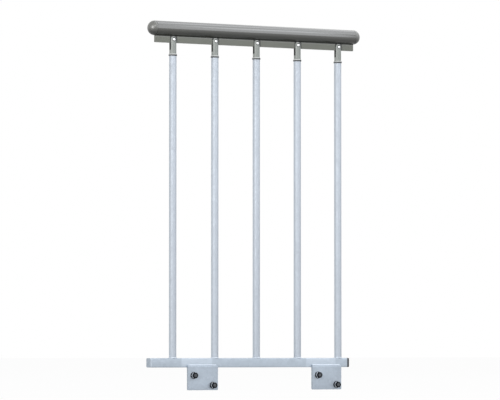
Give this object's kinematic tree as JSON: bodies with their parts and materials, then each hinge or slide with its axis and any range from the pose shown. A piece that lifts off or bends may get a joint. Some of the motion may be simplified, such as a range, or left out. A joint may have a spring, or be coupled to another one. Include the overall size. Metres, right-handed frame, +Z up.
{
  "type": "balustrade bay",
  "caption": "Upright balustrade bay: round handrail with domed ends over a flat bar, round tube balusters in forked connectors, hollow bottom rail, and drop plates with anchors.",
  "frame": {"origin": "on the back face of the left fixing plate, at the middle of its exposed part, where it bears on the slab's face", "axes": "+X along the rail to the right as seen from the front, +Y away from the front into the slab, +Z up"},
  "size_m": [0.7152, 0.0552, 1.066],
  "materials": {
    "handrail_paint": "gloss grey-olive paint",
    "bar_paint": "satin grey-olive paint",
    "cast_connector": "satin grey-green paint on a casting",
    "bright_screw": "polished stainless steel",
    "galvanised_tube": "hot-dip galvanised, matt",
    "galvanised_section": "hot-dip galvanised, matt, faint spangle",
    "galvanised_plate": "hot-dip galvanised, mottled",
    "black_plastic": "black, fine-grained",
    "black_washer": "black oxide, satin",
    "zinc_nut": "bright zinc",
    "black_nut": "black oxide, satin",
    "zinc_stud": "dull zinc"
  },
  "bodies": {
    "root": {"handrail_tube": "handrail_paint", "handrail_cap_left": "handrail_paint", "handrail_cap_right": "handrail_paint", "top_rail": "bar_paint", "connector_1": "cast_connector", "connector_screw_1": "bright_screw", "connector_nut_1": "bright_screw", "baluster_1": "galvanised_tube", "connector_2": "cast_connector", "connector_screw_2": "bright_screw", "connector_nut_2": "bright_screw", "baluster_2": "galvanised_tube", "connector_3": "cast_connector", "connector_screw_3": "bright_screw", "connector_nut_3": "bright_screw", "baluster_3": "galvanised_tube", "connector_4": "cast_connector", "connector_screw_4": "bright_screw", "connector_nut_4": "bright_screw", "baluster_4": "galvanised_tube", "connector_5": "cast_connector", "connector_screw_5": "bright_screw", "connector_nut_5": "bright_screw", "baluster_5": "galvanised_tube", "bottom_rail": "galvanised_section", "bottom_rail_end_plate": "galvanised_section", "bottom_rail_end_cap": "black_plastic", "fixing_plate_left": "galvanised_plate", "fixing_plate_right": "galvanised_plate", "anchor_stud_1": "zinc_stud", "anchor_washer_1": "black_washer", "anchor_nut_1": "zinc_nut", "anchor_lock_nut_1": "black_nut", "anchor_stud_2": "zinc_stud", "anchor_washer_2": "black_washer", "anchor_nut_2": "zinc_nut", "anchor_lock_nut_2": "black_nut", "anchor_stud_3": "zinc_stud", "anchor_washer_3": "black_washer", "anchor_nut_3": "zinc_nut", "anchor_lock_nut_3": "black_nut", "anchor_stud_4": "zinc_stud", "anchor_washer_4": "black_washer", "anchor_nut_4": "zinc_nut", "anchor_lock_nut_4": "black_nut"}
  },
  "joints": []
}
